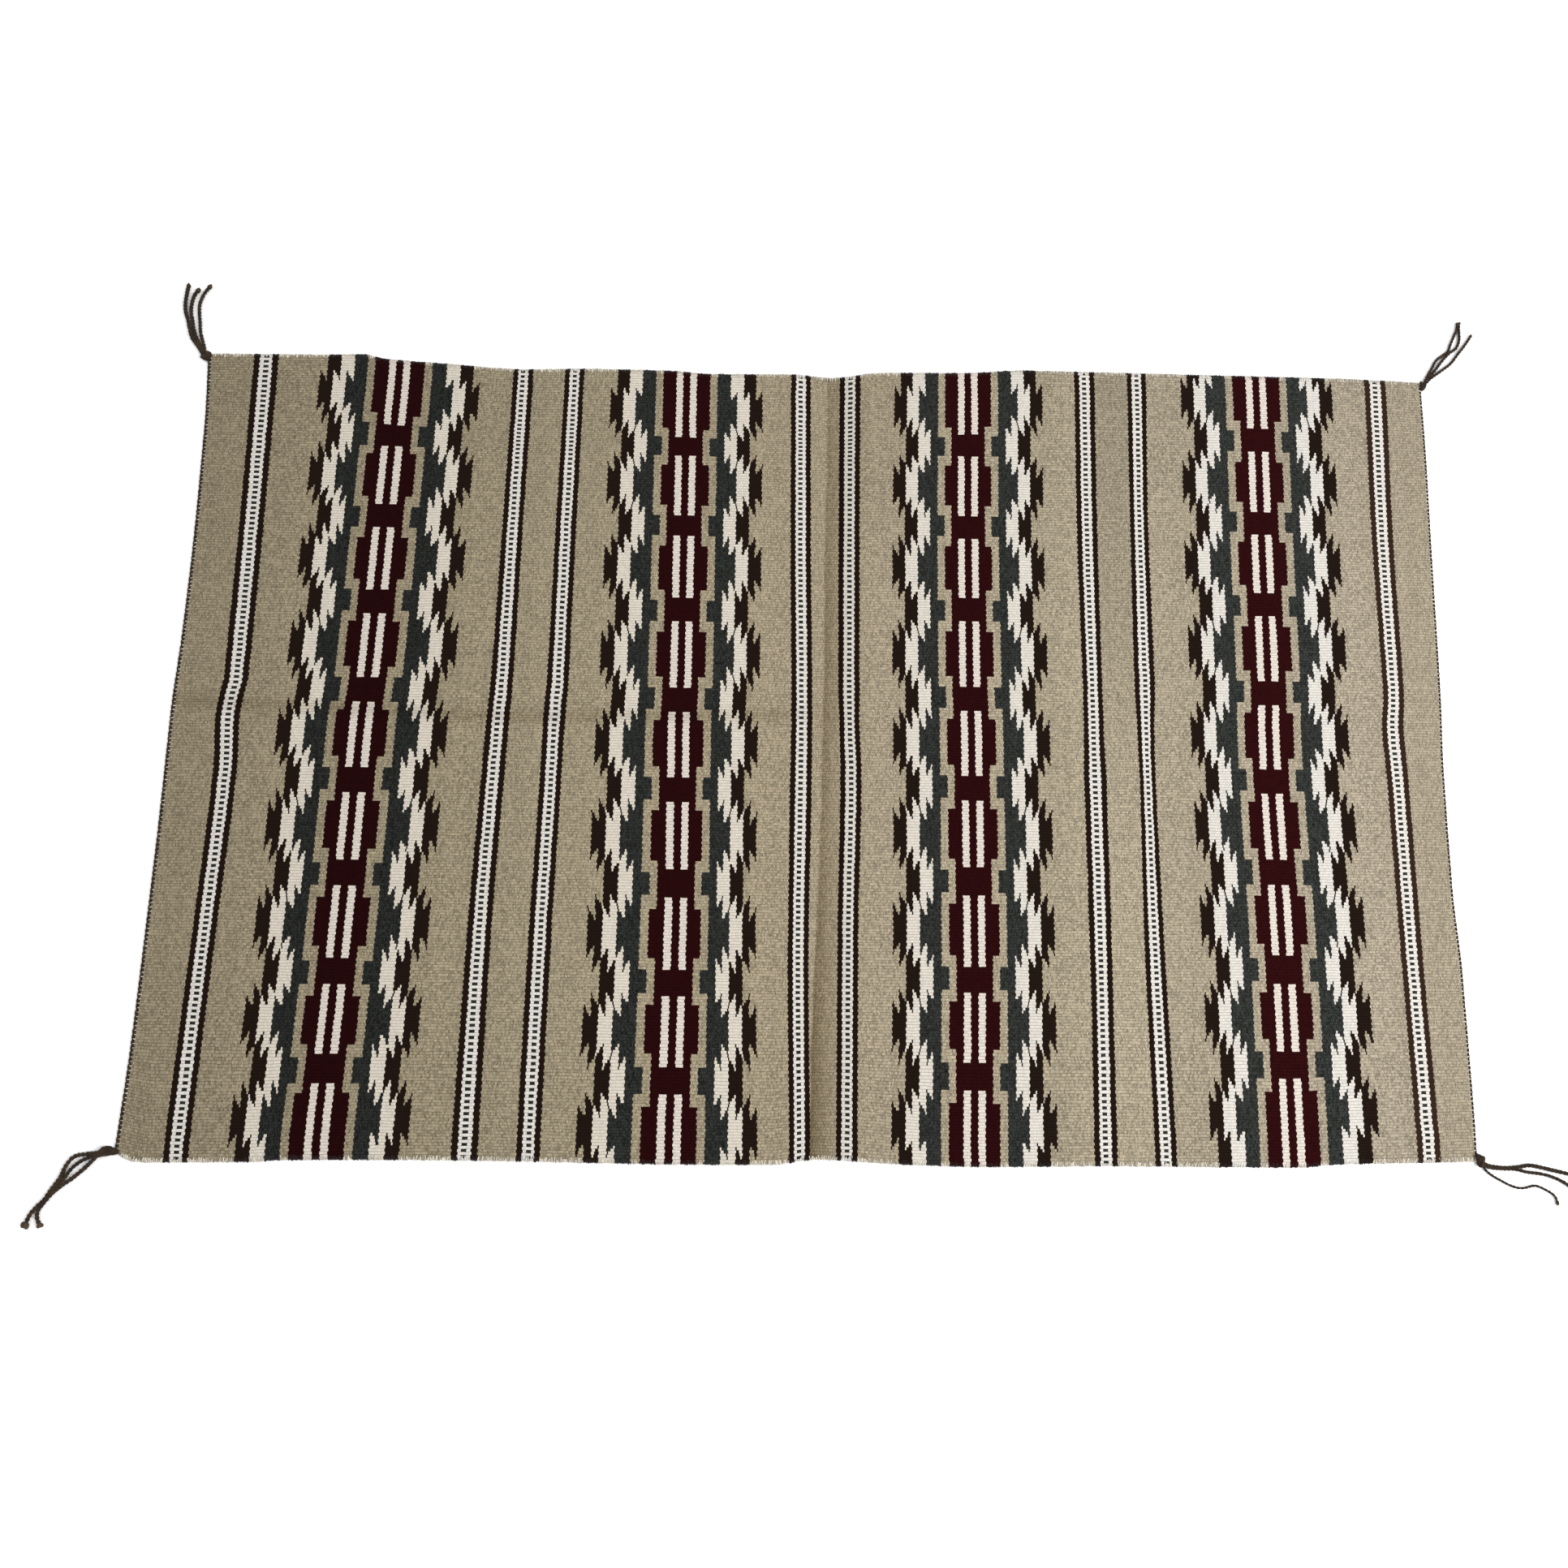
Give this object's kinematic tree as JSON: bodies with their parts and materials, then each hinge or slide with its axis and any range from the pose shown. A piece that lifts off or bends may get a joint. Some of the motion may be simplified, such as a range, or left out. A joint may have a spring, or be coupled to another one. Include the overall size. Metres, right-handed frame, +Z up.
{
  "type": "handwoven wool rug",
  "caption": "Flat handwoven wool rug with serrated bands and beaded stripes, a twined cord along each warp end and a knotted tassel at each corner.",
  "frame": {"origin": "on the floor, under the middle of the whole rug's bounding box, tassels included", "axes": "+X along the warp from the left end to the right end, +Y along the weft from the near side to the far side, +Z up out of the patterned face"},
  "size_m": [1.7048, 1.1278, 0.0088],
  "materials": {
    "wool_cloth": "matt wool in a ribbed weft-faced weave, heathered tan-grey ground with maroon, brown-black, cream and dark teal yarns",
    "brown_cord": "matt dark brown plied wool, a little fuzzy"
  },
  "bodies": {
    "root": {"rug_cloth": "wool_cloth", "end_cord_left": "brown_cord", "end_cord_right": "brown_cord", "tassel_far_left": "brown_cord", "tassel_far_right": "brown_cord", "tassel_near_left": "brown_cord", "tassel_near_right": "brown_cord"}
  },
  "joints": []
}
